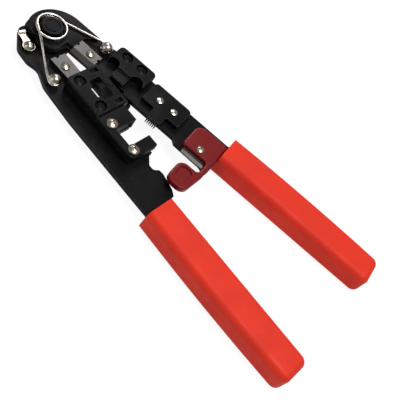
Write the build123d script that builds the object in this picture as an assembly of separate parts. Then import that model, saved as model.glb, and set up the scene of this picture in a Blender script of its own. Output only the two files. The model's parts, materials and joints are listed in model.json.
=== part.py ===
from build123d import *
from math import atan2, cos, degrees, hypot, radians, sin, tan
import os

# Modular-plug crimping tool: two pressed steel arms on one pivot, lying flat.
# +X runs from the pivot to the grips, +Y to the arm with the rams, +Z up.
# The origin is on the pivot axis, in the plane that the tool rests on.
# Each arm is drawn as it lies when the tool is closed, then opened by HALF_OPEN.

# ---------------------------------------------------------------- driving sizes
HALF_OPEN = 6.0            # degrees that each arm swings from closed to rest
FIT = 0.05                 # running and seating clearance on a radius
FACE_GAP = 0.1             # gap between flat faces that slide past each other
WINDOW_GAP = 0.3           # room around a plug pocket in the plates under its nest
CUTTER = 60.0              # length of a tool that cuts right through

# levels
ARM_THICK = 2.6
ARM_BOTTOM = 4.3           # underside of the left arm, over the resting plane
HEAD_THICK = 1.6
GRIP_THICK = 14.0
UPPER_NEST_TOP = 14.4
LOWER_NEST_TOP = 13.4
RAM_TOP = 14.2
COMB_PLATE_THICK = 2.4
LEFT_BLADE_THICK = 2.5
RIGHT_BLADE_THICK = 2.0

LEFT_TOP = ARM_BOTTOM + ARM_THICK
RIGHT_BOTTOM = LEFT_TOP + FACE_GAP
RIGHT_TOP = RIGHT_BOTTOM + ARM_THICK
HEAD_TOP = RIGHT_TOP + HEAD_THICK
NEST_BOTTOM = RIGHT_TOP + FACE_GAP

# pivot
PIVOT_SHAFT_R = 4.0
PIVOT_BOSS_R = 5.2
PIVOT_BOSS_RIM = 1.0
PIVOT_GROOVE = (0.9, 0.6)  # width and depth of the ring turned into the boss
PIVOT_EDGE = 0.2
PIVOT_NUT_ACROSS = 13.0
PIVOT_WASHER_R = 8.0
PIVOT_WASHER_THICK = 0.8
LOBE_R = 12.0
HEAD_R = 15.6
HEAD_CENTRE = (4.5, 0.5)
HEAD_SHOULDER_X = 18.0     # where the head's outline runs out into the arm's edge
HEAD_EDGE = 0.5            # bevel along the front of the head plate
LATCH_RIM_R = 10.6         # rim of the right arm that the latch lies against
HEAD_NOTCH = (-1.6, -11.6)
HEAD_NOTCH_R = 3.4

# spring
WIRE_R = 0.6
COIL_R = 7.2
COIL_TURN_GAP = 0.15       # room between one turn and the next
COIL_GAP = 0.3             # room between the coil and the head plate
STUD_SHANK_R = 2.0
STUD_HEAD_R = 3.05
STUD_HEAD_RISE = 2.4
STUD_BASE_R = 2.7
HOOK_SWEEP = 150.0
HOOK_R = STUD_SHANK_R + WIRE_R + FACE_GAP
STUD_HEAD_GAP = 0.45       # room between the left hook and its stud's head
STUD_BASE_GAP = 0.6        # room between a hook and the shoulder below it
LEFT_HOOK_LIFT = 2.3       # height of the left hook over its arm
LEFT_STUD = (23.8, -16.1)
RIGHT_STUD = (24.3, 13.2)

# arms, in the closed frame
LEFT_OUTER_Y = -22.1
LEFT_INNER_Y = 2.4
LEFT_LAP_X = (30.6, 51.5)  # where the left arm reaches under the right one
LEFT_LAP_Y = 10.8
RIGHT_OUTER_Y = 18.7
RIGHT_INNER_Y = 0.0
LEFT_GRIP_Y = (-26.4, -9.4)
RIGHT_GRIP_Y = (6.4, 23.6)
GRIP_START = 101.0
GRIP_END = 195.0
GRIP_EDGE_R = 3.6
GRIP_CORNER_R = 4.0
GRIP_BULGE = 0.9
TANG_MARGIN = 3.2          # grip wall beside the tang
TANG_END = 178.0

# cutter
BLADE_START = 13.6
BLADE_END = 26.7
BLADE_OVERLAP = 0.4
LEFT_BLADE_EDGE_Y = -1.4
LEFT_BLADE_BACK_Y = -10.1
RIGHT_BLADE_BACK_Y = 7.2
BLADE_TAPER = 0.6          # how far the anvil plate's ends are out of square
BLADE_BEVEL = 2.2
BLADE_LAND = 0.5           # thickness left at the cutting edge
BLADE_NOTCH_R = 0.9
EDGE_SETBACK = 0.6         # steel of the arms behind the cutting edges
LEFT_BLADE_SCREW = (19.8, -6.3)
RIGHT_BLADE_SCREW = (21.4, 3.9)

# plug stations
EIGHT_PLUG = (11.9, 6.6)   # pocket for the eight-way plug: along X, along Y
EIGHT_LATCH = (6.4, 1.7)
EIGHT_X = 39.5
EIGHT_CONTACT_Y = 1.5
SIX_PLUG = (9.8, 6.6)
SIX_X = 65.2
SIX_CONTACT_Y = -3.3
CONTACT_PITCH = 1.02
TOOTH_THICK = 0.5
EIGHT_TEETH = 8
SIX_TEETH = 6
EIGHT_BITE = 0.7           # how far the teeth pass the plug's contact line
SIX_BITE = 1.4
COMB_BAR = 0.7
COMB_LIFT = 0.6            # eight-way teeth over the nest's floor
SIX_COMB_LIFT = 0.1
NEST_SIDE_Y = -13.8
NEST_CORNER_R = 2.5
NEST_FRONT_R = 0.8
NEST_EDGE = 0.5
UPPER_NEST_SLOT = (2.6, 4.6, 1.6)    # shallow slots in the nest's top: along X, along Y, deep
UPPER_SLOT_Y = -1.0
NEST_ROOF = 1.3            # roof of the upper nest over the tongue and the teeth
ROOF_SLIT = 2.2            # length of the slits over the teeth
UPPER_SLOT_MARGINS = (1.2, 1.2)
LOWER_NEST_TOOTH = (1.1, 1.8)        # locating tooth in the open pocket: reach, width
NEST_END_MARGIN = 0.6                # the spacer stands back from the nests
UPPER_NEST_SCREWS = [(31.4, -8.6), (46.9, -8.6)]
LOWER_NEST_SCREWS = [(56.8, -9.8), (72.6, -9.8)]
UPPER_NEST_X = (27.2, 51.0)
UPPER_NEST_FRONT_Y = 5.6
LOWER_NEST_X = (51.1, 76.2)
LOWER_NEST_FRONT_Y = 3.2
SPACER_FRONT_Y = -5.2
RAM_SHOULDERS = (6.68, 7.88)         # steel of the ram on each side of its comb
RAM_FRONT_Y = 7.2
RAM_BACK_Y = 20.0
RAM_NOTCH_R = 3.6
RAM_CORNER_R = 2.4
RAM_EDGE = 0.4
RAM_TONGUE_SETBACK = 1.2   # the eight-way tongue stops this far short of the contacts
RAM_DIMPLE = (38.9, 9.4)
RAM_DIMPLE_R = 0.5
RAM_SCREWS = [(35.0, 15.9), (44.2, 15.9)]
SIDE_PLAY = 0.8            # room beside a ram that swings into its nest
OUTER_PLAY = 0.4           # more room on the side that the tongue swings in from
COMB_PLATE_X = (53.6, 76.0)
COMB_PLATE_Y = (4.4, 18.0)
COMB_TONGUE_Y = -1.6
COMB_TONGUE_MARGIN = 0.9
COMB_RIVETS = [(60.9, 10.4), (69.7, 10.4)]

# fasteners
SCREW_HEAD_R = 2.8
SCREW_HEAD_RISE = 1.7
SCREW_SHANK_R = 1.5
SCREW_SEAT_DEPTH = 1.9     # depth of a counterbore
SCREW_SEAT_GAP = 0.3
SCREW_TIP_DROP = 1.2       # how far the nest screws stand out under the arm
BLADE_SCREW_HEAD_R = 2.1
BLADE_SCREW_RISE = 1.2
BLADE_SCREW_SHANK_R = 1.1
RECESS_WIDTH = 0.7
RECESS_TURN = 25.0
RECESS_REACH = 0.55        # share of the head's radius
RECESS_DEPTH = 0.7         # share of the head's height
HEAD_SKIRT = 0.4           # straight share of a screw head's height
RIVET_HEAD_R = 2.0
RIVET_RISE = 0.45
RIVET_SHANK_R = 1.25

# stripping blade and guard
STRIP_X = (84.6, 97.6)
STRIP_Y = (-3.9, 4.6)
STRIP_THICK = 0.8
STRIP_BEVEL = 1.5
STRIP_LAND = 0.2           # thickness left at the stripping edge
GUARD_THICK = 3.0
GUARD_X = (82.6, 100.7)
GUARD_Y = (-0.8, 15.4)
NECK_WIDTH = 2.8
PADDLE_X = (87.6, 98.6)
PADDLE_Y = (-23.4, -9.2)
PADDLE_R = 4.5
PADDLE_RIM = 2.0
PADDLE_RECESS = 0.8
PADDLE_RECESS_R = 2.4
GUARD_EDGE_R = 0.9
GUARD_SCREW = (91.4, 2.4)

# latch, in the left arm's closed frame
LATCH_PIVOT = (2.1, -14.0)
LATCH_THICK = 1.2
LATCH_WIDTH = 3.6
LATCH_EYE_R = 3.0
LATCH_TIP = (-6.2, -11.9)
LATCH_LIP = (1.0, 2.2)     # thickness and height of the upturned lip
LATCH_LOCK_TURN = -20.0    # swing from rest to locked, with the handles closed
LATCH_SLOT_GAP = 0.3
LATCH_RIVET_R = 2.7
LATCH_RIVET_RISE = 1.9
LATCH_RIVET_TAIL = 0.6

# levels and places that follow from the sizes
COIL_PITCH = 2 * WIRE_R + COIL_TURN_GAP
LEFT_HOOK_Z = LEFT_TOP + LEFT_HOOK_LIFT
COIL_Z = HEAD_TOP + WIRE_R + COIL_GAP
LEFT_STUD_HEAD_Z = LEFT_HOOK_Z + WIRE_R + STUD_HEAD_GAP
RIGHT_STUD_HEAD_Z = COIL_Z + WIRE_R + FACE_GAP
EIGHT_TOOTH_Y = EIGHT_CONTACT_Y - EIGHT_BITE
SIX_TOOTH_Y = SIX_CONTACT_Y - SIX_BITE
TONGUE_END_Y = EIGHT_CONTACT_Y + RAM_TONGUE_SETBACK
MOUTH_TOP = UPPER_NEST_TOP - NEST_ROOF
TONGUE_TOP = MOUTH_TOP - 2 * FACE_GAP
BLADE_SCREW = (BLADE_SCREW_HEAD_R, BLADE_SCREW_RISE, BLADE_SCREW_SHANK_R)
BLOCK_SCREW = (SCREW_HEAD_R, SCREW_HEAD_RISE, SCREW_SHANK_R)

NODES = {}


# ---------------------------------------------------------------- helpers
def outline(points, radii=None):
    """A flat face through the points; radii rounds the points that it names by index."""
    corners = [Vector(*point) for point in points]
    edges = []
    ends = []
    for index, corner in enumerate(corners):
        back = corners[index - 1] - corner
        ahead = corners[(index + 1) % len(corners)] - corner
        radius = (radii or {}).get(index, 0)
        if not radius:
            ends.append((corner, corner))
            continue
        half_turn = radians(180 - back.get_angle(ahead)) / 2
        trim = min(radius * tan(half_turn), 0.45 * min(back.length, ahead.length))
        bend = trim / tan(half_turn)
        enter = corner + back.normalized() * trim
        leave = corner + ahead.normalized() * trim
        inward = (back.normalized() + ahead.normalized()).normalized()
        middle = corner + inward * (bend / cos(half_turn) - bend)
        edges.append(ThreePointArc(enter, middle, leave))
        ends.append((enter, leave))
    for index, (enter, _) in enumerate(ends):
        edges.append(Line(ends[index - 1][1], enter))
    return Sketch() + make_face(edges)


def slab(face, bottom, thick):
    """The face as a solid from one level up."""
    return Pos(0, 0, bottom) * extrude(face, thick)


def block(x_range, y_range, z_range):
    """A plain box between three pairs of limits."""
    size = [high - low for low, high in (x_range, y_range, z_range)]
    place = Pos(x_range[0], y_range[0], z_range[0])
    return place * Box(*size, align=(Align.MIN, Align.MIN, Align.MIN))


def post(centre, radius, bottom, top):
    """A round bar on a vertical axis between two levels."""
    bar = Cylinder(radius, top - bottom, align=(Align.CENTER, Align.CENTER, Align.MIN))
    return Pos(centre[0], centre[1], bottom) * bar


def drill(centre, radius):
    """A tool for a vertical hole through everything."""
    return post(centre, radius, -CUTTER, CUTTER)


def dome(centre, radius, rise, bottom):
    """A shallow round cap on a flat level."""
    ball_r = (radius ** 2 + rise ** 2) / (2 * rise)
    ball = Pos(centre[0], centre[1], bottom + rise - ball_r) * Sphere(ball_r)
    return ball & post(centre, radius, bottom, bottom + rise)


def cross_recess(centre, reach, top, depth):
    """The driver recess of a screw, a cross that narrows downwards."""
    arms = Sketch()
    for width, length in ((RECESS_WIDTH, 2 * reach), (2 * reach, RECESS_WIDTH)):
        arms += Rectangle(width, length)
    place = Pos(centre[0], centre[1], top) * Rot(0, 0, RECESS_TURN)
    return place * extrude(arms, -depth)


def screw(centre, seat, tip, head_r, rise, shank_r):
    """A cross-recessed screw with a low rounded head on its seat."""
    skirt = rise * HEAD_SKIRT
    head = post(centre, head_r, seat, seat + skirt)
    head += dome(centre, head_r, rise - skirt, seat + skirt)
    head -= cross_recess(centre, head_r * RECESS_REACH, seat + rise, rise * RECESS_DEPTH)
    return head + post(centre, shank_r, tip, seat)


def rivet(centre, seat, tip):
    """A low flat rivet head with its shank."""
    head = dome(centre, RIVET_HEAD_R, RIVET_RISE, seat)
    return head + post(centre, RIVET_SHANK_R, tip, seat)


def add(name, shape, side=""):
    """Files a node, opening the left or right arm's parts to their rest place."""
    turn = {"left": -HALF_OPEN, "right": HALF_OPEN}.get(side, 0.0)
    NODES[name] = Rot(0, 0, turn) * shape


def opened(point, side):
    """A point of a closed arm where it lies at rest."""
    turn = radians(-HALF_OPEN if side == "left" else HALF_OPEN)
    x, y = point
    return (x * cos(turn) - y * sin(turn), x * sin(turn) + y * cos(turn))


def ground_edge(edge_y, land_top, bevel, face_top, length):
    """Tool that grinds a bevel along an edge that faces -Y, above a narrow land."""
    section = [(edge_y - 1, land_top), (edge_y, land_top), (edge_y + bevel, face_top),
               (edge_y + bevel, CUTTER), (edge_y - 1, CUTTER)]
    return extrude(make_face(Plane.YZ * Polyline(*section, close=True)), length)


def comb_width(teeth):
    """Width over a row of contact teeth."""
    return (teeth - 1) * CONTACT_PITCH + TOOTH_THICK


def tooth_places(teeth, x_centre):
    """The low X of each tooth in a row."""
    first = x_centre - comb_width(teeth) / 2
    return [first + index * CONTACT_PITCH for index in range(teeth)]


def eight_pocket(extra=0.0):
    """Tool for the eight-way plug pocket, with the notch for the plug's tab."""
    half = EIGHT_PLUG[0] / 2 + extra
    low = EIGHT_CONTACT_Y - EIGHT_PLUG[1] - extra
    body = block((EIGHT_X - half, EIGHT_X + half), (low, EIGHT_CONTACT_Y), (-CUTTER, CUTTER))
    tab = EIGHT_LATCH[0] / 2 + extra
    notch = (low - EIGHT_LATCH[1], low)
    return body + block((EIGHT_X - tab, EIGHT_X + tab), notch, (-CUTTER, CUTTER))


def six_pocket(extra=0.0):
    """Tool for the six-way plug pocket, open towards the ram."""
    half = SIX_PLUG[0] / 2 + extra
    low = SIX_CONTACT_Y - SIX_PLUG[1] - extra
    return block((SIX_X - half, SIX_X + half), (low, CUTTER), (-CUTTER, CUTTER))


# ---------------------------------------------------------------- left arm
def left_arm_plate():
    """Pressed plate with the pivot lobe, both plug windows and the grip's tang."""
    tang_low = LEFT_GRIP_Y[0] + TANG_MARGIN
    tang_high = LEFT_GRIP_Y[1] - TANG_MARGIN
    points = [
        (-9.8, -11.0), (0.3, -18.9), (8.5, -19.4), (14.0, -17.4), (23.0, -20.9),
        (44.0, LEFT_OUTER_Y), (GRIP_START, LEFT_OUTER_Y), (GRIP_START, tang_low),
        (TANG_END, tang_low), (TANG_END, tang_high), (GRIP_START, tang_high),
        (GRIP_START - 1.5, -4.2), (96.5, -2.4), (88.0, -0.6), (85.4, -0.9), (83.9, -3.4),
        (81.0, -3.6), (79.0, -1.8), (76.4, 0.4), (76.4, LEFT_INNER_Y), (LEFT_LAP_X[1], LEFT_INNER_Y),
        (LEFT_LAP_X[1], LEFT_LAP_Y), (LEFT_LAP_X[0], LEFT_LAP_Y),
        (BLADE_END, LEFT_BLADE_EDGE_Y - EDGE_SETBACK), (BLADE_START, LEFT_BLADE_EDGE_Y - EDGE_SETBACK),
        (11.0, 2.0), (6.0, 8.0), (-7.0, 8.0),
    ]
    rounds = {0: 4.0, 1: 6.0, 2: 5.0, 3: 6.0, 4: 10.0, 5: 30.0, 6: 2.0, 12: 6.0, 13: 3.0, 14: 1.2,
              15: 1.6, 16: 1.6, 17: 1.2, 20: 1.0, 21: 1.5, 22: 1.5, 26: 4.0, 27: 5.0}
    face = outline(points, rounds) + Circle(LOBE_R)
    plate = slab(face, ARM_BOTTOM, ARM_THICK)
    plate -= eight_pocket(WINDOW_GAP)
    plate -= six_pocket(WINDOW_GAP)
    plate -= drill((0, 0), PIVOT_SHAFT_R + FIT)
    for centre in UPPER_NEST_SCREWS + LOWER_NEST_SCREWS:
        plate -= drill(centre, SCREW_SHANK_R + FIT)
    plate -= drill(LEFT_BLADE_SCREW, BLADE_SCREW_SHANK_R + FIT)
    plate -= drill(LEFT_STUD, STUD_SHANK_R + FIT)
    plate -= drill(LATCH_PIVOT, RIVET_SHANK_R + FIT)
    return plate


def grip(y_range, plate_bottom):
    """Moulded sleeve with a bulged back and rounded edges over an arm's tang."""
    low, high = y_range
    outward = 1 if low > 0 else -1
    outer = high if outward > 0 else low
    inner = low if outward > 0 else high
    middle = (GRIP_START + GRIP_END) / 2
    outer_edge = ThreePointArc(
        (GRIP_START, outer), (middle, outer + outward * GRIP_BULGE), (GRIP_END, outer))
    inner_edge = Line((GRIP_END, inner), (GRIP_START, inner))
    ends = [Line((GRIP_END, outer), (GRIP_END, inner)), Line((GRIP_START, inner), (GRIP_START, outer))]
    face = make_face([outer_edge, ends[0], inner_edge, ends[1]])
    sleeve = slab(face, 0, GRIP_THICK)
    upright = sleeve.edges().filter_by(Axis.Z)
    sleeve = fillet(upright.filter_by_position(Axis.X, GRIP_END - 1, GRIP_END + 1), GRIP_CORNER_R)
    mouth = sleeve.edges().filter_by_position(Axis.X, GRIP_START - 0.1, GRIP_START + 0.1)
    around = [edge for edge in sleeve.edges() if edge not in mouth]
    sleeve = fillet([e for e in around if abs(e.tangent_at(0.5).Z) < 0.5], GRIP_EDGE_R)
    tang = block(
        (GRIP_START, TANG_END + FIT),
        (low + TANG_MARGIN - FIT, high - TANG_MARGIN + FIT),
        (plate_bottom - FIT, plate_bottom + ARM_THICK + FIT))
    return sleeve - tang


def left_blade():
    """Ground anvil plate of the cutter, with a notch in its pivot end."""
    points = [
        (BLADE_START - BLADE_TAPER, LEFT_BLADE_BACK_Y), (BLADE_START, LEFT_BLADE_EDGE_Y),
        (BLADE_END, LEFT_BLADE_EDGE_Y), (BLADE_END, LEFT_BLADE_BACK_Y + BLADE_TAPER),
    ]
    plate = slab(outline(points), LEFT_TOP, LEFT_BLADE_THICK)
    plate -= drill((BLADE_START - BLADE_TAPER / 2, LEFT_BLADE_SCREW[1]), BLADE_NOTCH_R)
    return plate - drill(LEFT_BLADE_SCREW, BLADE_SCREW_SHANK_R + FIT)


def stud(centre, plate_bottom, head_level):
    """Domed post that holds one hooked end of the spring."""
    seat = plate_bottom + ARM_THICK
    body = post(centre, STUD_SHANK_R, plate_bottom, head_level)
    body += post(centre, STUD_BASE_R, seat, head_level - 2 * WIRE_R - STUD_BASE_GAP)
    return body + dome(centre, STUD_HEAD_R, STUD_HEAD_RISE, head_level)


def nest_spacer():
    """Bar that lifts the nests, so that the right arm can pass beneath them."""
    ends = (UPPER_NEST_X[0] + NEST_END_MARGIN, LOWER_NEST_X[1] - NEST_END_MARGIN)
    bar = block(ends, (NEST_SIDE_Y + NEST_END_MARGIN, SPACER_FRONT_Y), (LEFT_TOP, NEST_BOTTOM))
    bar -= eight_pocket(WINDOW_GAP)
    bar -= six_pocket(WINDOW_GAP)
    for centre in UPPER_NEST_SCREWS + LOWER_NEST_SCREWS:
        bar -= drill(centre, SCREW_SHANK_R + FIT)
    return bar


def nest_block(x_range, front_y, top, rounds):
    """A die block with its top edges bevelled, before its pocket is cut."""
    corners = [(x_range[0], NEST_SIDE_Y), (x_range[1], NEST_SIDE_Y),
               (x_range[1], front_y), (x_range[0], front_y)]
    solid = slab(outline(corners, rounds), NEST_BOTTOM, top - NEST_BOTTOM)
    return chamfer(solid.faces().sort_by(Axis.Z)[-1].edges(), NEST_EDGE)


def upper_nest():
    """Die block of the eight-way plug, with a roofed mouth for the ram's tongue."""
    solid = nest_block(UPPER_NEST_X, UPPER_NEST_FRONT_Y, UPPER_NEST_TOP,
                       {0: NEST_CORNER_R, 3: NEST_FRONT_R})
    solid -= eight_pocket()
    half = comb_width(EIGHT_TEETH) / 2 + SIDE_PLAY
    mouth = (EIGHT_CONTACT_Y - FACE_GAP, UPPER_NEST_FRONT_Y + 1)
    solid -= block((EIGHT_X - half - OUTER_PLAY, EIGHT_X + half), mouth, (-CUTTER, MOUTH_TOP))
    slit_y = (EIGHT_CONTACT_Y - FACE_GAP, EIGHT_CONTACT_Y + ROOF_SLIT)
    for x_low in tooth_places(EIGHT_TEETH, EIGHT_X):
        solid -= block((x_low, x_low + TOOTH_THICK), slit_y, (NEST_BOTTOM, CUTTER))
    width, length, deep = UPPER_NEST_SLOT
    slot_y = (UPPER_SLOT_Y, UPPER_SLOT_Y + length)
    for x_low in (UPPER_NEST_X[0] + UPPER_SLOT_MARGINS[0], UPPER_NEST_X[1] - UPPER_SLOT_MARGINS[1] - width):
        solid -= block((x_low, x_low + width), slot_y, (UPPER_NEST_TOP - deep, CUTTER))
    for centre in UPPER_NEST_SCREWS:
        solid -= drill(centre, SCREW_SHANK_R + FIT)
        solid -= post(centre, SCREW_HEAD_R + SCREW_SEAT_GAP, UPPER_NEST_TOP - SCREW_SEAT_DEPTH, CUTTER)
    return solid


def lower_nest():
    """Die block of the six-way plug: two jaws either side of an open pocket."""
    solid = nest_block(LOWER_NEST_X, LOWER_NEST_FRONT_Y, LOWER_NEST_TOP,
                       {1: NEST_CORNER_R, 2: NEST_FRONT_R})
    solid -= six_pocket()
    wall = SIX_X - SIX_PLUG[0] / 2
    reach, width = LOWER_NEST_TOOTH
    tooth = outline([(wall, -width / 2), (wall + reach, -width / 6), (wall + reach, width / 4),
                     (wall, width / 2)])
    solid += slab(tooth, NEST_BOTTOM, LOWER_NEST_TOP - NEST_BOTTOM - NEST_EDGE)
    for centre in LOWER_NEST_SCREWS:
        solid -= drill(centre, SCREW_SHANK_R + FIT)
    return solid


def block_screws(centres, seat, tip):
    """The equal screws of one block, as a group of separate solids."""
    group = Part()
    for centre in centres:
        group += screw(centre, seat, tip, *BLOCK_SCREW)
    return group


# ---------------------------------------------------------------- right arm
def right_arm_plate():
    """Pressed plate under the head plate, blade, ram and comb, with the tang."""
    tang_low = RIGHT_GRIP_Y[0] + TANG_MARGIN
    tang_high = RIGHT_GRIP_Y[1] - TANG_MARGIN
    edge_y = LEFT_BLADE_EDGE_Y + EDGE_SETBACK
    head_top = HEAD_CENTRE[1] + HEAD_R
    points = [
        (HEAD_CENTRE[0], head_top), (19.5, head_top), (28.0, RIGHT_OUTER_Y),
        (GRIP_START, RIGHT_OUTER_Y), (GRIP_START, tang_high), (TANG_END, tang_high),
        (TANG_END, tang_low), (GRIP_START, tang_low), (GRIP_START, -4.2),
        (96.0, -2.4), (80.0, -2.0), (77.8, RIGHT_INNER_Y), (28.4, RIGHT_INNER_Y),
        (BLADE_END, edge_y), (BLADE_START, edge_y), (9.4, edge_y), (4.0, -4.0),
    ]
    rounds = {1: 14.0, 2: 8.0, 3: 2.0, 8: 1.5, 10: 1.0, 11: 1.0}
    face = outline(points, rounds) + Circle(LATCH_RIM_R)
    plate = slab(face, RIGHT_BOTTOM, ARM_THICK)
    plate += slab(head_face(), RIGHT_BOTTOM, ARM_THICK)
    plate -= latch_slot()
    half = EIGHT_PLUG[0] / 2 + WINDOW_GAP
    notch_y = (-CUTTER, EIGHT_CONTACT_Y + WINDOW_GAP)
    plate -= block((EIGHT_X - half, EIGHT_X + half), notch_y, (-CUTTER, CUTTER))
    plate -= drill((0, 0), PIVOT_SHAFT_R + FIT)
    for centre in RAM_SCREWS:
        plate -= drill(centre, SCREW_SHANK_R + FIT)
    for centre in COMB_RIVETS:
        plate -= drill(centre, RIVET_SHANK_R + FIT)
    plate -= drill(RIGHT_BLADE_SCREW, BLADE_SCREW_SHANK_R + FIT)
    plate -= drill(GUARD_SCREW, BLADE_SCREW_SHANK_R + FIT)
    return plate - drill(RIGHT_STUD, STUD_SHANK_R + FIT)


def head_face():
    """Outline of the round head: a disc cut away at the latch and at the cutter."""
    disc = Pos(*HEAD_CENTRE) * Circle(HEAD_R)
    head_top = HEAD_CENTRE[1] + HEAD_R
    disc += outline([HEAD_CENTRE, (HEAD_SHOULDER_X, HEAD_CENTRE[1]), (HEAD_SHOULDER_X, head_top),
                     (HEAD_CENTRE[0], head_top)])
    keep = outline([(-14, -5.5), (-6.5, -8.4), (4.0, -10.2), (7.6, -9.4), (9.9, -6.8), (10.1, 0.7),
                    (BLADE_START, 0.7), (BLADE_START, 9.6), (HEAD_SHOULDER_X, 15.6), (HEAD_SHOULDER_X, 20),
                    (-14, 20)],
                   {2: 3.0, 3: 1.5, 4: 1.0})
    return (disc & keep) - Pos(*HEAD_NOTCH) * Circle(HEAD_NOTCH_R)


def head_plate():
    """Cover plate of the head, under the spring."""
    plate = slab(head_face(), RIGHT_TOP, HEAD_THICK)
    top = plate.faces().sort_by(Axis.Z)[-1]
    front = [edge for edge in top.edges()
             if 3 < edge.center().X < BLADE_START and edge.center().Y < 10 and edge.length > 2.5]
    plate = chamfer(front, HEAD_EDGE)
    return plate - drill((0, 0), PIVOT_SHAFT_R + FIT)


def right_blade():
    """Cutting blade with a long bevel, overlapping the anvil when closed."""
    edge_y = LEFT_BLADE_EDGE_Y - BLADE_OVERLAP
    start = BLADE_START + FIT
    points = [(start, edge_y), (start, RIGHT_BLADE_BACK_Y),
              (BLADE_END, RIGHT_BLADE_BACK_Y - 0.4), (BLADE_END, edge_y)]
    plate = slab(outline(points), RIGHT_TOP, RIGHT_BLADE_THICK)
    plate -= ground_edge(edge_y, RIGHT_TOP + BLADE_LAND, BLADE_BEVEL, RIGHT_TOP + RIGHT_BLADE_THICK, CUTTER)
    for x in (BLADE_START, BLADE_END):
        plate -= drill((x, RIGHT_BLADE_SCREW[1]), BLADE_NOTCH_R)
    return plate - drill(RIGHT_BLADE_SCREW, BLADE_SCREW_SHANK_R + FIT)


def ram():
    """Ram block of the eight-way station, with a tongue between two hollows."""
    half = comb_width(EIGHT_TEETH) / 2
    low_x = EIGHT_X - half - RAM_SHOULDERS[0]
    high_x = EIGHT_X + half + RAM_SHOULDERS[1]
    points = [
        (low_x, RAM_FRONT_Y), (EIGHT_X - half, RAM_FRONT_Y), (EIGHT_X - half, TONGUE_END_Y),
        (EIGHT_X + half, TONGUE_END_Y), (EIGHT_X + half, RAM_FRONT_Y),
        (high_x, RAM_FRONT_Y), (high_x, RAM_BACK_Y), (low_x, RAM_BACK_Y),
    ]
    face = outline(points, {0: NEST_FRONT_R, 5: NEST_FRONT_R, 6: RAM_CORNER_R, 7: RAM_CORNER_R})
    for x in (EIGHT_X - half - RAM_NOTCH_R, EIGHT_X + half + RAM_NOTCH_R):
        face -= Pos(x, RAM_FRONT_Y) * Circle(RAM_NOTCH_R - FIT)
    solid = slab(face, RIGHT_TOP, RAM_TOP - RIGHT_TOP)
    rim = [edge for edge in solid.faces().sort_by(Axis.Z)[-1].edges()
           if edge.center().X > high_x - FIT or edge.center().Y > RAM_BACK_Y - RAM_CORNER_R]
    solid = chamfer(rim, RAM_EDGE)
    solid -= block((low_x, high_x), (-CUTTER, RAM_FRONT_Y), (TONGUE_TOP, CUTTER))
    solid -= post(RAM_DIMPLE, RAM_DIMPLE_R, RAM_TOP - RAM_DIMPLE_R, CUTTER)
    for centre in RAM_SCREWS:
        solid -= drill(centre, SCREW_SHANK_R + FIT)
        solid -= post(centre, SCREW_HEAD_R + SCREW_SEAT_GAP, RAM_TOP - SCREW_SEAT_DEPTH, CUTTER)
    return solid


def comb(teeth, x_centre, root_y, tip_y, z_range):
    """A row of contact teeth on a common bar."""
    half = comb_width(teeth) / 2
    solid = block((x_centre - half, x_centre + half), (root_y - COMB_BAR, root_y), z_range)
    for x_low in tooth_places(teeth, x_centre):
        solid += block((x_low, x_low + TOOTH_THICK), (tip_y, root_y - COMB_BAR), z_range)
    return solid


def comb_plate():
    """Holder of the six-way comb: a plate with a tongue that enters the nest."""
    half = comb_width(SIX_TEETH) / 2 + COMB_TONGUE_MARGIN
    points = [
        (COMB_PLATE_X[0], COMB_PLATE_Y[0]), (SIX_X - half, COMB_PLATE_Y[0]),
        (SIX_X - half, COMB_TONGUE_Y), (SIX_X + half, COMB_TONGUE_Y), (SIX_X + half, COMB_PLATE_Y[0]),
        (COMB_PLATE_X[1], COMB_PLATE_Y[0]), (COMB_PLATE_X[1], COMB_PLATE_Y[1]),
        (COMB_PLATE_X[0], COMB_PLATE_Y[1]),
    ]
    face = outline(points, {1: 1.0, 4: 1.0, 6: 2.0, 7: 2.0})
    solid = slab(face, RIGHT_TOP, COMB_PLATE_THICK)
    for centre in COMB_RIVETS:
        solid -= drill(centre, RIVET_SHANK_R + FIT)
    return solid


def strip_blade():
    """Thin stripping blade clamped under the guard, its ground edge bare."""
    blade = block(STRIP_X, STRIP_Y, (RIGHT_TOP, RIGHT_TOP + STRIP_THICK))
    blade -= ground_edge(STRIP_Y[0], RIGHT_TOP + STRIP_LAND, STRIP_BEVEL, RIGHT_TOP + STRIP_THICK, GRIP_END)
    return blade - drill(GUARD_SCREW, BLADE_SCREW_SHANK_R + FIT)


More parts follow.
